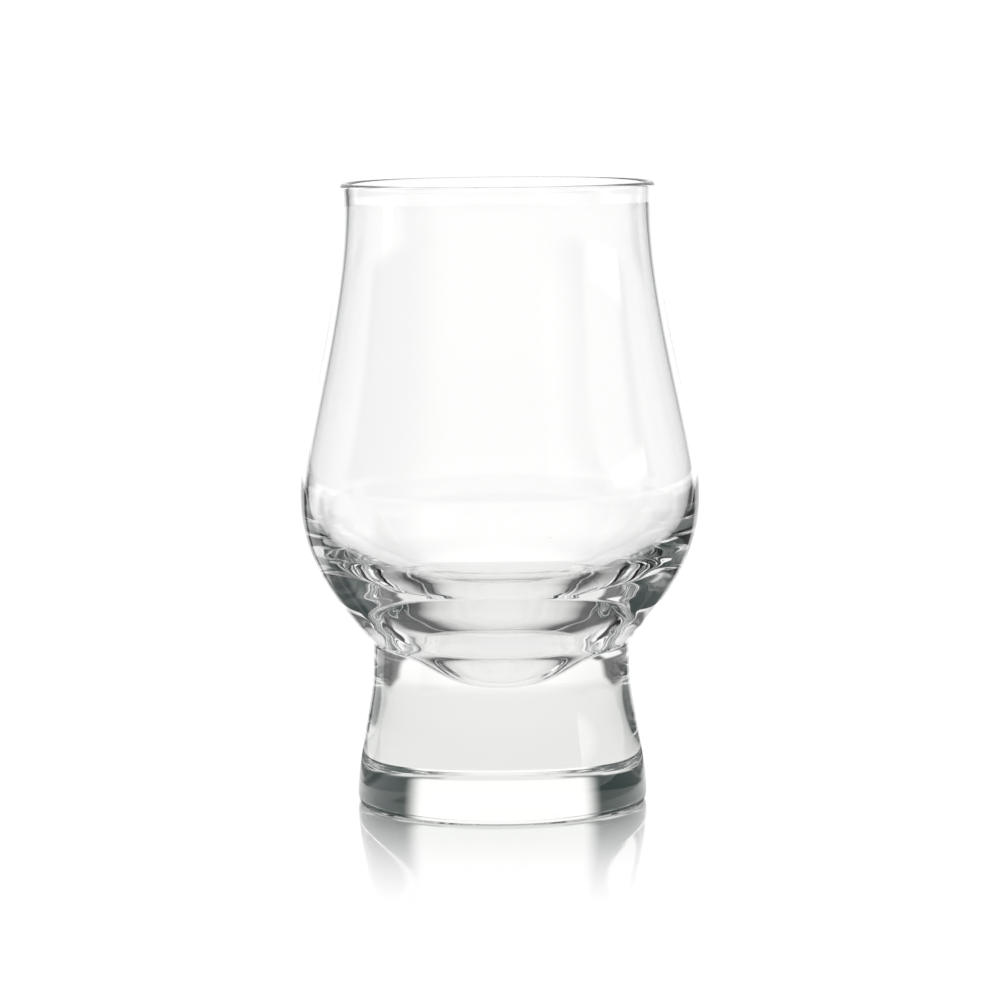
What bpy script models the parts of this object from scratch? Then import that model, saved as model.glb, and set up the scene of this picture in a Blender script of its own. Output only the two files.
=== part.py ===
# Tulip tasting glass: a blown bowl with a thick, welled bottom, fused onto a solid pressed foot.
# Metres, +Z up. The glass stands on z = 0 with its axis on Z.

import math

import bmesh
import bpy
from mathutils import Vector
from mathutils.geometry import interpolate_bezier

# Outside of the foot
FOOT_HEIGHT = 0.0195
FOOT_RADIUS = 0.0210
HEEL_STEP = 0.0006
HEEL_RISE = 0.0012

# Waist, where the two gathers of glass were joined
WAIST_RADIUS = 0.0186
SEAM_GAP = 0.0003

# Outside of the bowl, with heights counted from the waist
BOWL_HEIGHT = 0.0702
BELLY_RISE = 0.0250
BELLY_RADIUS = 0.02886
SHOULDER_RISE = 0.0059
SHOULDER_STEP = 0.00185
SHOULDER_LEAN = math.radians(38.8)
NECK_RISE = 0.0678
NECK_RADIUS = 0.0225
MOUTH_RADIUS = 0.0226

# Inside of the bowl, with heights counted from the waist
WALL = 0.00115
WELL_DIP = 0.0024
SHELF_RISE = 0.00927
SHELF_RADIUS = 0.0150
SHELF_SLOPE = math.radians(44.2)
CAVITY_RISE = 0.02646
BOTTOM_THICKNESS = 0.0028

# How far each curve keeps its direction at its ends
FOOT_SIDE_HANDLE_UP = 0.0044
FOOT_SIDE_HANDLE_DOWN = 0.0049
WAIST_HANDLE = 0.0046
SHOULDER_HANDLE_DOWN = 0.0038
SHOULDER_HANDLE_UP = 0.0070
BELLY_HANDLE_DOWN = 0.0081
BELLY_HANDLE_UP = 0.0092
NECK_HANDLE = 0.0159
LIP_HANDLE = 0.0006
WELL_HANDLE = 0.00786
SHELF_HANDLE_IN = 0.00525
SHELF_HANDLE_OUT = 0.00604
CAVITY_HANDLE_DOWN = 0.0111
CAVITY_HANDLE_UP = 0.0058
CAVITY_NECK_HANDLE = 0.0150

# Handle of a quarter of an ellipse, as a share of its half axis
QUARTER = 0.5523

TURN_STEPS = 64

for old in list(bpy.data.objects):
    bpy.data.objects.remove(old, do_unlink=True)

collection = bpy.data.collections.new("tulip_tasting_glass")
bpy.context.scene.collection.children.link(collection)


def at(radius, height):
    return Vector((radius, 0.0, height))


def curve(start, start_pull, end_pull, end, count):
    """Points of a Bezier curve, its end included and its start left out."""
    points = interpolate_bezier(start, start + start_pull, end + end_pull, end, count + 1)
    return points[1:]


def arc(centre, radius, first, last, count):
    """Points of a circle arc in the profile plane, from the first angle to the last."""
    points = []
    for step in range(count + 1):
        angle = first + (last - first) * step / count
        points.append(centre + at(radius * math.cos(angle), radius * math.sin(angle)))
    return points


def dish(edge_radius, edge_height, middle_height, count):
    """Points of a shallow spherical dish, from its edge to the axis, its edge left out."""
    sag = edge_height - middle_height
    points = []
    for step in range(1, count + 1):
        radius = edge_radius * (1 - step / count)
        points.append(at(radius, middle_height + sag * (radius / edge_radius) ** 2))
    return points


def glass(name, colour):
    material = bpy.data.materials.new(name)
    material.use_nodes = True
    shader = material.node_tree.nodes["Principled BSDF"]
    shader.inputs["Base Color"].default_value = (*colour, 1.0)
    shader.inputs["Metallic"].default_value = 0.0
    shader.inputs["Roughness"].default_value = 0.02
    shader.inputs["IOR"].default_value = 1.52
    shader.inputs["Transmission Weight"].default_value = 1.0
    return material


def turned(name, profile, material):
    """One solid of revolution: the profile runs from the axis out, down the outside and back in."""
    mesh = bpy.data.meshes.new(name)
    outline = bmesh.new()
    corners = [outline.verts.new(point) for point in profile]
    for first, second in zip(corners, corners[1:]):
        outline.edges.new((first, second))
    outline.to_mesh(mesh)
    outline.free()
    solid = bpy.data.objects.new(name, mesh)
    collection.objects.link(solid)
    screw = solid.modifiers.new("turn", "SCREW")
    screw.axis = "Z"
    screw.angle = math.tau
    screw.steps = TURN_STEPS
    screw.render_steps = TURN_STEPS
    screw.use_merge_vertices = True
    screw.merge_threshold = 0.00001
    screw.use_smooth_shade = True
    mesh.materials.append(material)
    return solid


# Stations along the axis
waist = FOOT_HEIGHT
rim = waist + BOWL_HEIGHT
belly = waist + BELLY_RISE
lip_round = WALL / 2
well_floor = waist - WELL_DIP
seam_middle = well_floor - BOTTOM_THICKNESS

# Bowl: up the inside from the well, over the lip, down the outside and under to the axis
well = at(0.0, well_floor)
shelf = at(SHELF_RADIUS, waist + SHELF_RISE)
along_shelf = at(math.cos(SHELF_SLOPE), math.sin(SHELF_SLOPE))
inner_belly = at(BELLY_RADIUS - WALL, waist + CAVITY_RISE)
inner_neck = at(NECK_RADIUS - WALL, waist + NECK_RISE)
inner_lip = at(MOUTH_RADIUS - WALL, rim - lip_round)
outer_lip = at(MOUTH_RADIUS, rim - lip_round)
outer_neck = at(NECK_RADIUS, waist + NECK_RISE)
outer_belly = at(BELLY_RADIUS, belly)
shoulder = at(WAIST_RADIUS + SHOULDER_STEP, waist + SHOULDER_RISE)
along_shoulder = at(math.sin(SHOULDER_LEAN), math.cos(SHOULDER_LEAN))
bowl_edge = at(WAIST_RADIUS, waist + SEAM_GAP)

bowl_profile = [well]
bowl_profile += curve(well, at(WELL_HANDLE, 0), -along_shelf * SHELF_HANDLE_IN, shelf, 9)
bowl_profile += curve(
    shelf, along_shelf * SHELF_HANDLE_OUT, at(0, -CAVITY_HANDLE_DOWN), inner_belly, 8
)
bowl_profile += curve(
    inner_belly, at(0, CAVITY_HANDLE_UP), at(0, -CAVITY_NECK_HANDLE), inner_neck, 8
)
bowl_profile += curve(inner_neck, at(0, LIP_HANDLE), at(0, -LIP_HANDLE), inner_lip, 3)
bowl_profile += arc(at(MOUTH_RADIUS - lip_round, rim - lip_round), lip_round, math.pi, 0.0, 6)[1:]
bowl_profile += curve(outer_lip, at(0, -LIP_HANDLE), at(0, LIP_HANDLE), outer_neck, 3)
bowl_profile += curve(outer_neck, at(0, -NECK_HANDLE), at(0, BELLY_HANDLE_UP), outer_belly, 8)
bowl_profile += curve(
    outer_belly, at(0, -BELLY_HANDLE_DOWN), along_shoulder * SHOULDER_HANDLE_UP, shoulder, 7
)
bowl_profile += curve(
    shoulder, -along_shoulder * SHOULDER_HANDLE_DOWN, at(0, WAIST_HANDLE), bowl_edge, 5
)
bowl_profile += dish(WAIST_RADIUS, waist + SEAM_GAP, seam_middle + SEAM_GAP, 5)

# Foot: out along its dished top, down the side, round the heel and in along its flat underside
foot_edge = at(WAIST_RADIUS, waist)
heel_top = at(FOOT_RADIUS, HEEL_RISE)
heel_end = at(FOOT_RADIUS - HEEL_STEP, 0.0)

foot_profile = list(reversed(dish(WAIST_RADIUS, waist, seam_middle, 5)))
foot_profile += [foot_edge]
foot_profile += curve(
    foot_edge, at(0, -FOOT_SIDE_HANDLE_UP), at(0, FOOT_SIDE_HANDLE_DOWN), heel_top, 8
)
foot_profile += curve(
    heel_top, at(0, -HEEL_RISE * QUARTER), at(HEEL_STEP * QUARTER, 0), heel_end, 6
)
foot_profile += [at(0.0, 0.0)]

bowl = turned("bowl", bowl_profile, glass("bowl_glass", (0.955, 0.970, 0.962)))
foot = turned("foot", foot_profile, glass("foot_glass", (0.945, 0.962, 0.953)))
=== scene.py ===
# Tulip tasting glass: a clear blown bowl fused to a pressed foot, on a white table in bright-field light
import math
import bpy
import numpy as np
from mathutils import Matrix, Vector


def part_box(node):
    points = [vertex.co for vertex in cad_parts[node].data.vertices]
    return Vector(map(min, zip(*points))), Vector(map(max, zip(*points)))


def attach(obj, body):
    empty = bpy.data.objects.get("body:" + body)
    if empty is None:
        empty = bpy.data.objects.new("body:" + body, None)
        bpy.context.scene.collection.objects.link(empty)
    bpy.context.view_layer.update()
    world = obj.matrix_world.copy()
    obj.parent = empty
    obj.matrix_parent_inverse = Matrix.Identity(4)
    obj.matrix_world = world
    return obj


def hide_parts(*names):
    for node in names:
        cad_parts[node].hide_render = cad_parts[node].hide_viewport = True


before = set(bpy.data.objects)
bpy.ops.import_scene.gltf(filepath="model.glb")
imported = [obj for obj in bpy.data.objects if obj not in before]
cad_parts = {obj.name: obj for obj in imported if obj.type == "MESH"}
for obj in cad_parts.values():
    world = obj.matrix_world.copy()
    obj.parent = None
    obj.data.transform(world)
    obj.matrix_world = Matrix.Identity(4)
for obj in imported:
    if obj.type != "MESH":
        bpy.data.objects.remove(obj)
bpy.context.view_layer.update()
print("frame loaded:", ", ".join(sorted(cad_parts)))

# sizes that the frame already holds
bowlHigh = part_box("bowl")[1]
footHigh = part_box("foot")[1]
rimHeight = bowlHigh.z
bellyRadius = bowlHigh.x
waistHeight = footHigh.z
footRadius = footHigh.x

mmPerMetre = 1000.0
degreesPerRadian = 180 / math.pi
sharpAngle = math.radians(35)  # edges that turn more than this stay sharp
anyFaces = 99  # more glass faces than any light crosses
halfFace = 0.5  # faces are counted whole, so each limit lies half a face off

scene = bpy.context.scene
scene.view_settings.view_transform = "Standard"
# enough bounces for light to cross every wall of the glass
scene.cycles.max_bounces = 32
scene.cycles.transmission_bounces = 32
scene.cycles.glossy_bounces = 16
scene.cycles.transparent_max_bounces = 32


# cubic Bezier in the (radius, height) plane: the pulls are the handles, seen from each end;
# the start is left out
def bend(start, startPull, endPull, end, count):
    t = np.linspace(0.0, 1.0, count + 1)[1:, None]
    a, d = np.array(start), np.array(end)
    b, c = a + np.array(startPull), d + np.array(endPull)
    return (1 - t) ** 3 * a + 3 * (1 - t) ** 2 * t * b + 3 * (1 - t) * t ** 2 * c + t ** 3 * d


# circle arc about a centre in the same plane, from the first angle to the last, both included
def arcRound(centre, radius, first, last, count):
    angle = np.linspace(first, last, count + 1)
    return np.array(centre) + radius * np.stack([np.cos(angle), np.sin(angle)], 1)


# parabolic dish from its edge to the axis: height = middle + sag * (radius / edge radius) squared;
# the edge is left out
def dish(edgeRadius, edgeHeight, middleHeight, count):
    radius = edgeRadius * np.linspace(1.0, 0.0, count + 1)[1:]
    sag = edgeHeight - middleHeight
    return np.stack([radius, middleHeight + sag * (radius / edgeRadius) ** 2], 1)


# surface of revolution: each profile point becomes a ring, the two ends on the axis become single points,
# and swell is added to each point's radius; the profile comes down the outside, so the faces point out
def turnProfile(name, profile, around, materials, bandMaterial, swell=0.0):
    angle = np.linspace(0.0, math.tau, around, endpoint=False)
    rings = profile[1:-1]
    radius = np.repeat(rings[:, :1], around, 1) + swell
    height = np.repeat(rings[:, 1:], around, 1)
    points = np.stack([radius * np.cos(angle), radius * np.sin(angle), height], -1).reshape(-1, 3)
    ends = np.array([[0.0, 0.0, profile[0, 1]], [0.0, 0.0, profile[-1, 1]]])
    verts = np.concatenate([points, ends])
    here = np.arange(around)
    there = (here + 1) % around
    row = np.arange(len(rings) - 1)[:, None] * around
    quads = np.stack([row + here, row + around + here, row + around + there, row + there], -1).reshape(-1, 4)
    last = (len(rings) - 1) * around
    startFan = np.stack([np.full(around, len(points)), here, there], 1)
    endFan = np.stack([last + here, np.full(around, len(points) + 1), last + there], 1)
    mesh = bpy.data.meshes.new(name)
    mesh.from_pydata(verts.tolist(), [], quads.tolist() + startFan.tolist() + endFan.tolist())
    bandOfFace = np.concatenate([np.repeat(bandMaterial[1:-1], around),
                                 np.full(around, bandMaterial[0]), np.full(around, bandMaterial[-1])])
    for material in materials:
        mesh.materials.append(material)
    mesh.polygons.foreach_set("material_index", bandOfFace.astype(np.int32))
    mesh.shade_smooth()
    mesh.set_sharp_from_angle(angle=sharpAngle)
    mesh.update()
    piece = bpy.data.objects.new(name, mesh)
    scene.collection.objects.link(piece)
    print(name, len(verts), "points")
    return piece


# materials

# one Math node: a number is set on its socket, an output is linked to it
def addMath(tree, operation, *values):
    node = tree.nodes.new("ShaderNodeMath")
    node.operation = operation
    for socket, value in zip(node.inputs, values):
        if isinstance(value, (int, float)):
            socket.default_value = value
        else:
            tree.links.new(value, socket)
    return node.outputs[0]


# smooth step of a value from 0 at the first number to 1 at the second
def addStep(tree, value, first, second):
    ramp = tree.nodes.new("ShaderNodeMapRange")
    ramp.interpolation_type = "SMOOTHSTEP"
    low, high = min(first, second), max(first, second)
    ramp.inputs["From Min"].default_value = low
    ramp.inputs["From Max"].default_value = high
    ramp.inputs["To Min"].default_value = 0.0 if first < second else 1.0
    ramp.inputs["To Max"].default_value = 1.0 if first < second else 0.0
    tree.links.new(value, ramp.inputs["Value"])
    return ramp.outputs["Result"]


# what blowing leaves in the glass: streaks round it, slow waves and a few seeds
marksLook = {
    "streaks": (45.0, 45.0, 900.0),  # noise cells per metre along x, y and z
    "streakDetail": 2.0,
    "streakShare": 0.25,
    "waves": (60.0, 60.0, 90.0),  # noise cells per metre along x, y and z
    "waveDetail": 1.0,
    "seeds": 130.0,  # cells per metre that may hold a seed
    "seedSize": 0.05,  # share of a cell
    "seedShare": 0.012,  # share of the cells
}


def makeMarks(look):
    group = bpy.data.node_groups.new("glassMarks", "ShaderNodeTree")
    for name in ("Height", "Seeds"):
        group.interface.new_socket(name=name, in_out="OUTPUT", socket_type="NodeSocketFloat")
    out = group.nodes.new("NodeGroupOutput")
    coords = group.nodes.new("ShaderNodeTexCoord")

    def noise(scale, detail):
        stretch = group.nodes.new("ShaderNodeMapping")
        stretch.inputs["Scale"].default_value = scale
        group.links.new(coords.outputs["Object"], stretch.inputs["Vector"])
        node = group.nodes.new("ShaderNodeTexNoise")
        node.inputs["Scale"].default_value = 1.0
        node.inputs["Detail"].default_value = detail
        group.links.new(stretch.outputs["Vector"], node.inputs["Vector"])
        return node.outputs["Fac"]

    streaks = noise(look["streaks"], look["streakDetail"])
    waves = noise(look["waves"], look["waveDetail"])
    height = addMath(group, "MULTIPLY_ADD", streaks, look["streakShare"], waves)
    cells = group.nodes.new("ShaderNodeTexVoronoi")
    cells.inputs["Scale"].default_value = look["seeds"]
    group.links.new(coords.outputs["Object"], cells.inputs["Vector"])
    pick = group.nodes.new("ShaderNodeSeparateColor")
    group.links.new(cells.outputs["Color"], pick.inputs["Color"])
    chosen = addMath(group, "LESS_THAN", pick.outputs["Red"], look["seedShare"])
    spot = addStep(group, cells.outputs["Distance"], look["seedSize"], 0.0)
    seed = addMath(group, "MULTIPLY", spot, chosen)
    group.links.new(height, out.inputs["Height"])
    group.links.new(seed, out.inputs["Seeds"])
    return group


marksGroup = makeMarks(marksLook)


# clear glass: the marks' height tilts the surface a little, and each seed dims the colour
def clearGlass(name, look):
    material = bpy.data.materials.new(name)
    material.use_nodes = True
    tree = material.node_tree
    shader = tree.nodes["Principled BSDF"]
    marks = tree.nodes.new("ShaderNodeGroup")
    marks.node_tree = marksGroup
    colour = tree.nodes.new("ShaderNodeMix")
    colour.data_type = "RGBA"
    colour.inputs["A"].default_value = (*look["tint"], 1.0)
    colour.inputs["B"].default_value = (*look["seedTint"], 1.0)
    tree.links.new(marks.outputs["Seeds"], colour.inputs["Factor"])
    tree.links.new(colour.outputs["Result"], shader.inputs["Base Color"])
    bump = tree.nodes.new("ShaderNodeBump")
    bump.inputs["Strength"].default_value = 1.0
    bump.inputs["Distance"].default_value = look["waviness"]
    tree.links.new(marks.outputs["Height"], bump.inputs["Height"])
    tree.links.new(bump.outputs["Normal"], shader.inputs["Normal"])
    shader.inputs["IOR"].default_value = look["ior"]
    shader.inputs["Metallic"].default_value = 0.0
    shader.inputs["Roughness"].default_value = 0.0
    shader.inputs["Transmission Weight"].default_value = 1.0
    return material


# where bowl and foot are one glass, the faces that close each piece show nothing
def fusedSeam():
    material = bpy.data.materials.new("fusedSeam")
    material.use_nodes = True
    shader = material.node_tree.nodes["Principled BSDF"]
    shader.inputs["Alpha"].default_value = 0.0
    return material


seamMaterial = fusedSeam()

# bowl: sizes in metres, rises and dips counted from the waist
bowlLook = {
    "around": 256,
    "bellyRise": 0.0250,
    "waistRadius": 0.0186,
    "shoulderRise": 0.0059,
    "shoulderStep": 0.00185,
    "shoulderLean": math.radians(38.8),
    "neckRise": 0.0678,
    "neckRadius": 0.0225,
    "mouthRadius": 0.0226,
    "wall": 0.00115,
    "wellDip": 0.0024,
    "shelfRise": 0.00927,
    "shelfRadius": 0.0150,
    "shelfSlope": math.radians(44.2),
    "cavityRise": 0.02646,
    "bottomThickness": 0.0028,
    "waistHandle": 0.0046,
    "shoulderHandleDown": 0.0038,
    "shoulderHandleUp": 0.0070,
    "bellyHandleDown": 0.0081,
    "bellyHandleUp": 0.0092,
    "neckHandle": 0.0159,
    "wellHandle": 0.00786,
    "shelfHandleIn": 0.00525,
    "shelfHandleOut": 0.00604,
    "cavityHandleDown": 0.0111,
    "cavityHandleUp": 0.0058,
    "cavityNeckHandle": 0.0150,
    "lipHandle": 0.0006,
    "waveDepth": 0.000010,
    "waveLength": 0.0019,
    "waveMiddle": 0.0115,
    "waveReach": 0.0050,
    "waveDrift": ((1, 1.4, 0.7), (2, 0.9, 2.1)),  # turns round the glass, swing and phase in radians
    "wellSteps": 70,
    "cavitySteps": 70,
    "neckSteps": 36,
    "lipSteps": 10,
    "lipArcSteps": 14,
    "bellySteps": 44,
    "waistSteps": 30,
    "seamSteps": 10,
    "tint": (0.996, 0.998, 0.993),
    "seedTint": (0.55, 0.56, 0.55),
    "waviness": 0.000002,
    "ior": 1.52,
}


# shallow rings left by blowing, on the inside only: a sine of the height whose phase drifts with the angle,
# strongest at the middle height and fading away from it like a bell curve
def blownWaves(rings, angle, look):
    away = (rings[:, 1:] - waistHeight - look["waveMiddle"]) / look["waveReach"]
    drift = sum(swing * np.sin(turns * angle + phase) for turns, swing, phase in look["waveDrift"])
    ripple = np.sin(math.tau * rings[:, 1:] / look["waveLength"] + drift)
    return look["waveDepth"] * np.exp(-away ** 2) * ripple


# profile: up the inside from the well, over the lip, down the outside and under to the axis
def makeBowl(look):
    waist = waistHeight
    wellFloor = waist - look["wellDip"]
    lip = look["wall"] / 2
    belly = waist + look["bellyRise"]
    neck = waist + look["neckRise"]
    well = (0.0, wellFloor)
    shelf = np.array([look["shelfRadius"], waist + look["shelfRise"]])
    alongShelf = np.array([math.cos(look["shelfSlope"]), math.sin(look["shelfSlope"])])
    innerBelly = (bellyRadius - look["wall"], waist + look["cavityRise"])
    outerBelly = (bellyRadius, belly)
    innerNeck = (look["neckRadius"] - look["wall"], neck)
    outerNeck = (look["neckRadius"], neck)
    innerLip = (look["mouthRadius"] - look["wall"], rimHeight - lip)
    outerLip = (look["mouthRadius"], rimHeight - lip)
    shoulder = np.array([look["waistRadius"] + look["shoulderStep"], waist + look["shoulderRise"]])
    alongShoulder = np.array([math.sin(look["shoulderLean"]), math.cos(look["shoulderLean"])])
    edge = (look["waistRadius"], waist)
    inside = np.concatenate([
        [well],
        bend(well, (look["wellHandle"], 0.0), -alongShelf * look["shelfHandleIn"], shelf,
             look["wellSteps"]),
        bend(shelf, alongShelf * look["shelfHandleOut"], (0.0, -look["cavityHandleDown"]), innerBelly,
             look["cavitySteps"]),
        bend(innerBelly, (0.0, look["cavityHandleUp"]), (0.0, -look["cavityNeckHandle"]), innerNeck,
             look["neckSteps"]),
        bend(innerNeck, (0.0, look["lipHandle"]), (0.0, -look["lipHandle"]), innerLip,
             look["lipSteps"]),
    ])
    lipMiddle = (look["mouthRadius"] - lip, rimHeight - lip)
    lipArc = arcRound(lipMiddle, lip, math.pi, 0.0, look["lipArcSteps"])[1:]
    outside = np.concatenate([
        bend(outerLip, (0.0, -look["lipHandle"]), (0.0, look["lipHandle"]), outerNeck,
             look["lipSteps"]),
        bend(outerNeck, (0.0, -look["neckHandle"]), (0.0, look["bellyHandleUp"]), outerBelly,
             look["neckSteps"]),
        bend(outerBelly, (0.0, -look["bellyHandleDown"]), alongShoulder * look["shoulderHandleUp"], shoulder,
             look["bellySteps"]),
        bend(shoulder, -alongShoulder * look["shoulderHandleDown"], (0.0, look["waistHandle"]), edge,
             look["waistSteps"]),
    ])
    under = dish(look["waistRadius"], waist, wellFloor - look["bottomThickness"], look["seamSteps"])
    profile = np.concatenate([inside, lipArc, outside, under])
    bandMaterial = np.zeros(len(profile) - 1)
    bandMaterial[-len(under):] = 1
    angle = np.linspace(0.0, math.tau, look["around"], endpoint=False)
    swell = blownWaves(profile[1:-1], angle, look)
    swell[len(inside) - 1:] = 0.0
    materials = [clearGlass("bowlGlass", look), seamMaterial]
    return turnProfile("glassBowl", profile, look["around"], materials, bandMaterial, swell)


# foot: solid, with a rounded heel and a flat underside
footLook = {
    "around": 256,
    "sideHandleUp": 0.0044,
    "sideHandleDown": 0.0049,
    "heelStep": 0.0006,
    "heelRise": 0.0012,
    "sideSteps": 40,
    "heelSteps": 30,
    "undersideSteps": 20,
    "tint": (0.972, 0.981, 0.955),
    "seedTint": (0.6, 0.62, 0.6),
    "waviness": 0.000002,
    "ior": 1.52,
}


# profile: out along the dished top, down the side, round the heel and in along the flat underside
def makeFoot(look):
    waistRadius = bowlLook["waistRadius"]
    seamMiddle = waistHeight - bowlLook["wellDip"] - bowlLook["bottomThickness"]
    edge = (waistRadius, waistHeight)
    heelTop = (footRadius, look["heelRise"])
    heelEnd = (footRadius - look["heelStep"], 0.0)
    quarter = 0.5523  # handle of a quarter ellipse, as a share of its half axis
    top = dish(waistRadius, waistHeight, seamMiddle, bowlLook["seamSteps"])[::-1]
    profile = np.concatenate([
        top,
        [edge],
        bend(edge, (0.0, -look["sideHandleUp"]), (0.0, look["sideHandleDown"]), heelTop,
             look["sideSteps"]),
        bend(heelTop, (0.0, -look["heelRise"] * quarter), (look["heelStep"] * quarter, 0.0), heelEnd,
             look["heelSteps"]),
        dish(footRadius - look["heelStep"], 0.0, 0.0, look["undersideSteps"]),
    ])
    bandMaterial = np.zeros(len(profile) - 1)
    bandMaterial[:len(top)] = 1
    materials = [clearGlass("footGlass", look), seamMaterial]
    return turnProfile("glassFoot", profile, look["around"], materials, bandMaterial)


bowl = makeBowl(bowlLook)
foot = makeFoot(footLook)
for piece, node in ((bowl, "bowl"), (foot, "foot")):
    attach(piece, "root")
    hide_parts(node)
print("glass pieces made")

# table: white and glossy, with a mirror image that fades away from the foot; its glow carries painted shade:
# seen through the glass it shows a painted shadow under the foot's edge, painted shade close to the foot and
# painted dark patches at both sides, and the camera sees a thin painted shadow line round the foot
tableLook = {
    "around": 128,
    "radius": 2.5,
    "sunk": 0.0001,
    "glow": 0.97,
    "paint": 0.12,
    "nearLevel": 0.82,  # painted shade: a darker level close to the foot, seen in and through the glass
    "farLevel": 0.98,  # level past the reach
    "nearReach": (0.050, 0.090),
    "paintedContactShadow": [  # painted shadow under the foot's edge: radius in mm, level
        (0.0, 1.05), (10.0, 1.04), (14.0, 0.96), (16.0, 0.80), (17.5, 0.54),
        (18.6, 0.26), (19.3, 0.04), (21.0, 0.03), (21.5, 0.85), (22.0, 1.0),
    ],
    # straight behind, up to this turn in degrees and from this distance, the painted contact shadow has no
    # dark
    "openTurn": (32.0, 44.0),
    "openReach": (0.0198, 0.0204),
    "line": (0.0202, 0.0211),  # thin painted shadow line that the camera sees round the foot
    # dark patches painted on the table, seen only through the glass, paint dark into its refractions: turn
    # from straight behind in degrees, distance in metres, darkness at the left and at the right, and the most
    # glass faces that the light may have crossed
    "paintedDarkPatches": [
        ((29.0, 34.0, 58.0, 66.0), (0.040, 0.050, 0.090, 0.110), 0.95, 0.95, 3),
        ((29.0, 34.0, 58.0, 66.0), (0.090, 0.110, 0.600, 0.800), 0.00, 0.95, 3),
        ((27.0, 31.0, 33.0, 37.0), (0.090, 0.110, 0.600, 0.800), 0.95, 0.00, 3),
        ((53.0, 57.0, 58.0, 66.0), (0.090, 0.110, 0.600, 0.800), 0.95, 0.00, 3),
        ((58.0, 66.0, 98.0, 142.0), (0.032, 0.042, 0.300, 0.420), 0.00, 0.95, anyFaces),
        ((58.0, 66.0, 68.0, 77.0), (0.032, 0.042, 0.300, 0.420), 0.95, 0.00, anyFaces),
        ((103.0, 110.0, 110.0, 142.0), (0.032, 0.042, 0.300, 0.420), 0.95, 0.00, anyFaces),
        ((92.0, 104.0, 104.0, 142.0), (0.280, 0.360, 2.200, 2.400), 0.00, 0.75, anyFaces),
        ((26.0, 30.0, 42.0, 52.0), (0.400, 0.600, 9.000, 10.00), 0.97, 0.00, anyFaces),
        ((29.0, 33.0, 42.0, 52.0), (0.400, 0.600, 9.000, 10.00), 0.00, 0.40, anyFaces),
        ((120.0, 165.0, 190.0, 200.0), (0.300, 2.000, 9.000, 10.00), 0.60, 0.60, anyFaces),
    ],
    "mirror": 0.85,
    "mirrorReach": 0.074,
    "mirrorFade": 2.0,
    "mirrorRoughness": 0.04,
    "mirrorTint": (0.84, 0.85, 0.84),
}
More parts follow.
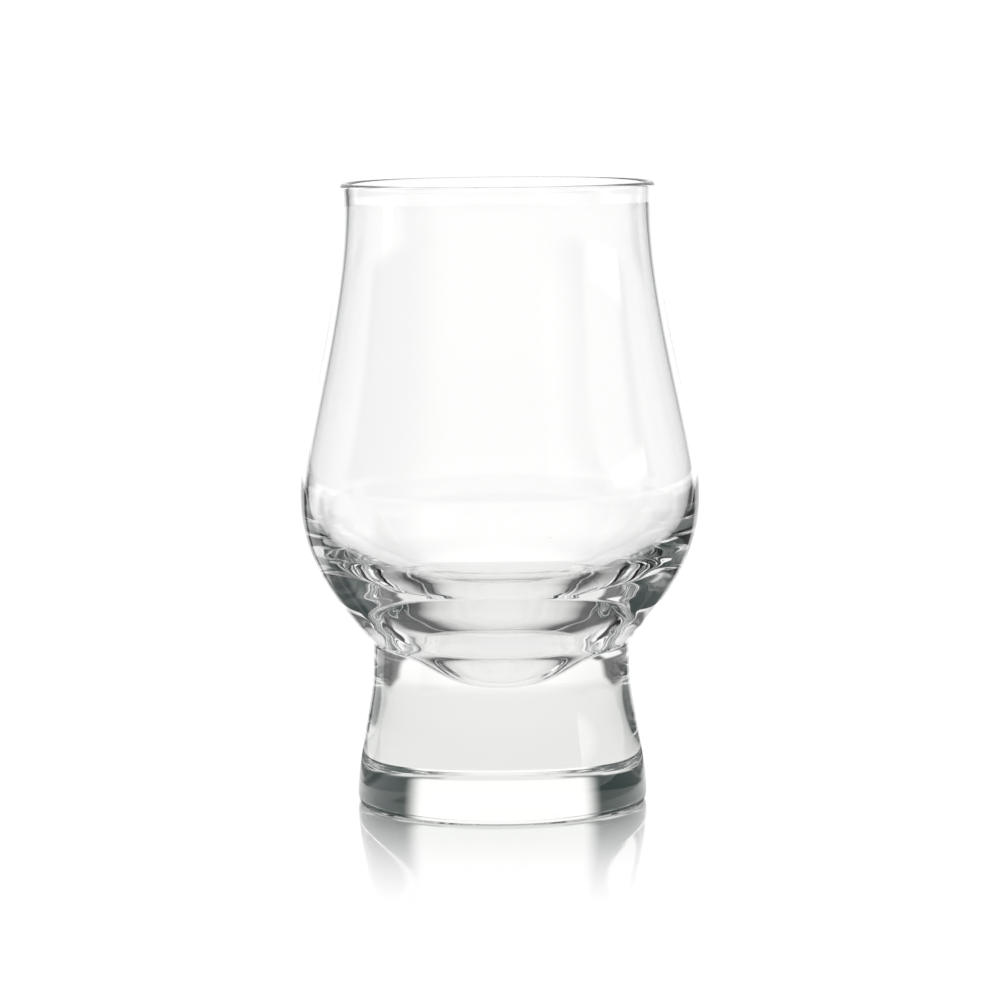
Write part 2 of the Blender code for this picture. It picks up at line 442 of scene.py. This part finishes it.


# paint and glow, with a share of gloss for the camera that falls with the distance from the foot; the glow
# carries painted shade and painted shadows
def whiteTable(look):
    material = bpy.data.materials.new("whiteTable")
    material.use_nodes = True
    tree = material.node_tree
    tree.nodes.clear()
    out = tree.nodes.new("ShaderNodeOutputMaterial")
    coords = tree.nodes.new("ShaderNodeTexCoord")
    axes = tree.nodes.new("ShaderNodeSeparateXYZ")
    tree.links.new(coords.outputs["Object"], axes.inputs[0])
    length = tree.nodes.new("ShaderNodeVectorMath")
    length.operation = "LENGTH"
    tree.links.new(coords.outputs["Object"], length.inputs[0])
    away = length.outputs["Value"]
    paths = tree.nodes.new("ShaderNodeLightPath")
    direct = paths.outputs["Is Camera Ray"]
    crossed = paths.outputs["Transmission Depth"]

    # up between the first two numbers, down between the last two
    def plateau(value, steps):
        rise = addStep(tree, value, steps[0], steps[1])
        fall = addStep(tree, value, steps[3], steps[2])
        return addMath(tree, "MULTIPLY", rise, fall)

    widest = look["paintedContactShadow"][-1][0]
    # painted contact shadow under the foot's edge, seen through the glass
    paintedContactShadow = tree.nodes.new("ShaderNodeValToRGB")
    stops = paintedContactShadow.color_ramp.elements
    while len(stops) < len(look["paintedContactShadow"]):
        stops.new(0.5)
    for stop, (radius, level) in zip(stops, look["paintedContactShadow"]):
        stop.position = radius / widest
        stop.color = (level, level, level, 1.0)
    tree.links.new(addMath(tree, "MULTIPLY", away, mmPerMetre / widest), paintedContactShadow.inputs["Fac"])
    turn = addMath(tree, "ARCTAN2", addMath(tree, "ABSOLUTE", axes.outputs["X"]), axes.outputs["Y"])
    turn = addMath(tree, "MULTIPLY", turn, degreesPerRadian)
    # painted shade: the table's glow is darker close to the foot, seen in and through the glass
    far = addStep(tree, away, *look["nearReach"])
    behind = addMath(tree, "MULTIPLY_ADD", far, look["farLevel"] - look["nearLevel"], look["nearLevel"])
    rightSide = addMath(tree, "GREATER_THAN", axes.outputs["X"], 0.0)
    # dark patches painted on the table, seen only through the glass: painted dark in its refractions
    for turns, reach, left, right, deepest in look["paintedDarkPatches"]:
        paintedDark = addMath(tree, "MULTIPLY", plateau(turn, turns), plateau(away, reach))
        darkness = addMath(tree, "MULTIPLY_ADD", rightSide, right - left, left)
        paintedDark = addMath(tree, "MULTIPLY", paintedDark, darkness)
        paintedDark = addMath(tree, "MULTIPLY", paintedDark, addMath(tree, "LESS_THAN", crossed, deepest + halfFace))
        behind = addMath(tree, "MULTIPLY", behind, addMath(tree, "SUBTRACT", 1.0, paintedDark))
    # straight behind, the painted contact shadow is lifted
    backFree = addMath(tree, "SUBTRACT", 1.0, addStep(tree, turn, *look["openTurn"]))
    backFree = addMath(tree, "MULTIPLY", backFree, addStep(tree, away, *look["openReach"]))
    behind = addMath(tree, "MULTIPLY", behind, addMath(tree, "MAXIMUM", paintedContactShadow.outputs["Color"], backFree))
    # painted shadow line round the foot, as the camera sees the table
    clearOfPaintedLine = addStep(tree, away, *look["line"])
    seen = tree.nodes.new("ShaderNodeMix")
    tree.links.new(direct, seen.inputs["Factor"])
    tree.links.new(behind, seen.inputs["A"])
    tree.links.new(clearOfPaintedLine, seen.inputs["B"])
    glow = tree.nodes.new("ShaderNodeEmission")
    tree.links.new(addMath(tree, "MULTIPLY", seen.outputs["Result"], look["glow"]), glow.inputs["Strength"])
    paint = tree.nodes.new("ShaderNodeBsdfDiffuse")
    paint.inputs["Color"].default_value = (look["paint"],) * 3 + (1.0,)
    both = tree.nodes.new("ShaderNodeAddShader")
    tree.links.new(glow.outputs[0], both.inputs[0])
    tree.links.new(paint.outputs[0], both.inputs[1])
    gloss = tree.nodes.new("ShaderNodeBsdfGlossy")
    gloss.inputs["Roughness"].default_value = look["mirrorRoughness"]
    gloss.inputs["Color"].default_value = (*look["mirrorTint"], 1.0)
    fade = tree.nodes.new("ShaderNodeMapRange")
    fade.inputs["From Min"].default_value = footRadius + look["mirrorReach"]
    fade.inputs["From Max"].default_value = footRadius
    tree.links.new(away, fade.inputs["Value"])
    share = addMath(tree, "POWER", fade.outputs["Result"], look["mirrorFade"])
    share = addMath(tree, "MULTIPLY", share, look["mirror"])
    mix = tree.nodes.new("ShaderNodeMixShader")
    tree.links.new(addMath(tree, "MULTIPLY", share, direct), mix.inputs[0])
    tree.links.new(both.outputs[0], mix.inputs[1])
    tree.links.new(gloss.outputs[0], mix.inputs[2])
    tree.links.new(mix.outputs[0], out.inputs["Surface"])
    return material


# flat disc: points evenly round a circle, just under the glass
def makeTable(look):
    around = look["around"]
    angle = np.linspace(0.0, math.tau, around, endpoint=False)
    height = np.full(around, -look["sunk"])
    edge = np.stack([look["radius"] * np.cos(angle), look["radius"] * np.sin(angle), height], 1)
    mesh = bpy.data.meshes.new("tableTop")
    mesh.from_pydata(edge.tolist(), [], [list(range(around))])
    mesh.materials.append(whiteTable(look))
    table = bpy.data.objects.new("tableTop", mesh)
    scene.collection.objects.link(table)


makeTable(tableLook)

# surroundings, seen through and in the glass: white behind, light from above, dark at the sides
roomLook = {
    "dark": (0.026, 0.044, 0.042),
    "mirrored": 1.19,  # level in the table's mirror image
    # middle azimuth, half width, lowest and highest elevation, edge softness (degrees), level,
    # and the fewest and most glass faces that the light may have crossed
    "windows": [
        (0.0, 28.3, -90.0, 21.0, 4.5, 1.07, 0, anyFaces),  # behind
        (0.0, 20.0, 16.0, 36.0, 4.0, 0.85, 0, anyFaces),  # behind, higher
        (0.0, 46.0, 24.0, 40.0, 5.0, 0.85, 0, anyFaces),  # behind, higher and wider
        (0.0, 100.0, 36.0, 99.0, 10.0, 0.9, 0, anyFaces),  # above, back half
        (180.0, 85.0, 38.0, 99.0, 10.0, 0.95, 0, anyFaces),  # above, front half
        (0.0, 181.0, 64.0, 99.0, 10.0, 0.85, 0, anyFaces),  # overhead, all round
        (180.0, 50.0, -90.0, 45.0, 20.0, 0.15, 0, anyFaces),  # dim fill in front
        (-90.0, 5.0, -5.0, 5.0, 2.0, 0.95, 0, anyFaces),  # left side, low
        (-90.0, 11.0, -5.0, 8.0, 2.5, 1.1, 4, anyFaces),  # left side, through both walls
        (98.0, 14.0, 4.4, 9.0, 1.6, 3.2, 0, 0),  # right side, a highlight on the outside
        (-50.0, 14.0, 21.0, 34.0, 3.0, 0.9, 0, anyFaces),  # back left
        (135.0, 15.0, 10.0, 22.0, 4.0, 0.6, 0, anyFaces),  # front right
        (0.0, 190.0, -3.0, 34.0, 4.0, 1.0, 0, 0),  # all round, on the outside
    ],
}


def makeRoom(look):
    world = bpy.data.worlds.new("studio")
    scene.world = world
    world.use_nodes = True
    tree = world.node_tree
    tree.nodes.clear()
    out = tree.nodes.new("ShaderNodeOutputWorld")
    light = tree.nodes.new("ShaderNodeBackground")
    coords = tree.nodes.new("ShaderNodeTexCoord")
    axes = tree.nodes.new("ShaderNodeSeparateXYZ")
    tree.links.new(coords.outputs["Generated"], axes.inputs[0])
    azimuth = addMath(tree, "ARCTAN2", axes.outputs["X"], axes.outputs["Y"])
    azimuth = addMath(tree, "MULTIPLY", azimuth, degreesPerRadian)
    elevation = addMath(tree, "ARCSINE", axes.outputs["Z"])
    elevation = addMath(tree, "MULTIPLY", elevation, degreesPerRadian)
    paths = tree.nodes.new("ShaderNodeLightPath")
    crossed = paths.outputs["Transmission Depth"]

    # 1 between low and high, with soft edges
    def between(value, low, high, soft):
        rise = addStep(tree, value, low - soft, low + soft)
        fall = addStep(tree, value, high + soft, high - soft)
        return addMath(tree, "MULTIPLY", rise, fall)

    total = None
    for middle, half, low, high, soft, level, fewest, most in look["windows"]:
        away = addMath(tree, "WRAP", addMath(tree, "SUBTRACT", azimuth, middle), 180.0, -180.0)
        across = between(away, -half, half, soft)
        patch = addMath(tree, "MULTIPLY", across, between(elevation, low, high, soft))
        patch = addMath(tree, "MULTIPLY", patch, level)
        if fewest > 0:
            enough = addMath(tree, "GREATER_THAN", crossed, fewest - halfFace)
            patch = addMath(tree, "MULTIPLY", patch, enough)
        if most < anyFaces:
            few = addMath(tree, "LESS_THAN", crossed, most + halfFace)
            patch = addMath(tree, "MULTIPLY", patch, few)
        total = patch if total is None else addMath(tree, "MAXIMUM", total, patch)
    # the camera, and the table's mirror image, see plain white behind the glass
    blurred = addMath(tree, "SUBTRACT", paths.outputs["Is Glossy Ray"], paths.outputs["Is Singular Ray"])
    blurred = addMath(tree, "SUBTRACT", blurred, paths.outputs["Is Transmission Ray"])
    blurred = addMath(tree, "MULTIPLY", blurred, look["mirrored"])
    total = addMath(tree, "MAXIMUM", total, addMath(tree, "MAXIMUM", paths.outputs["Is Camera Ray"], blurred))
    mix = tree.nodes.new("ShaderNodeMix")
    mix.data_type = "RGBA"
    mix.clamp_factor = False
    mix.inputs["A"].default_value = (*look["dark"], 1.0)
    mix.inputs["B"].default_value = (1.0, 1.0, 1.0, 1.0)
    tree.links.new(total, mix.inputs["Factor"])
    tree.links.new(mix.outputs["Result"], light.inputs["Color"])
    tree.links.new(light.outputs[0], out.inputs["Surface"])


makeRoom(roomLook)

# camera at the photograph's angle
cameraLook = {
    "distance": 0.5661,
    "height": 0.1092,
    "aimHeight": 0.0437,
    "sensor": 36.0,
    "lens": 141.6,
    "roll": math.radians(-0.5),
}


def makeCamera(look):
    data = bpy.data.cameras.new("camera")
    data.sensor_width = look["sensor"]
    data.lens = look["lens"]
    camera = bpy.data.objects.new("camera", data)
    scene.collection.objects.link(camera)
    camera.location = (0.0, -look["distance"], look["height"])
    aim = Vector((0.0, 0.0, look["aimHeight"])) - camera.location
    turn = aim.to_track_quat("-Z", "Y").to_matrix().to_4x4()
    camera.rotation_euler = (turn @ Matrix.Rotation(look["roll"], 4, "Z")).to_euler()
    scene.camera = camera


makeCamera(cameraLook)
print("stage, room and camera made")
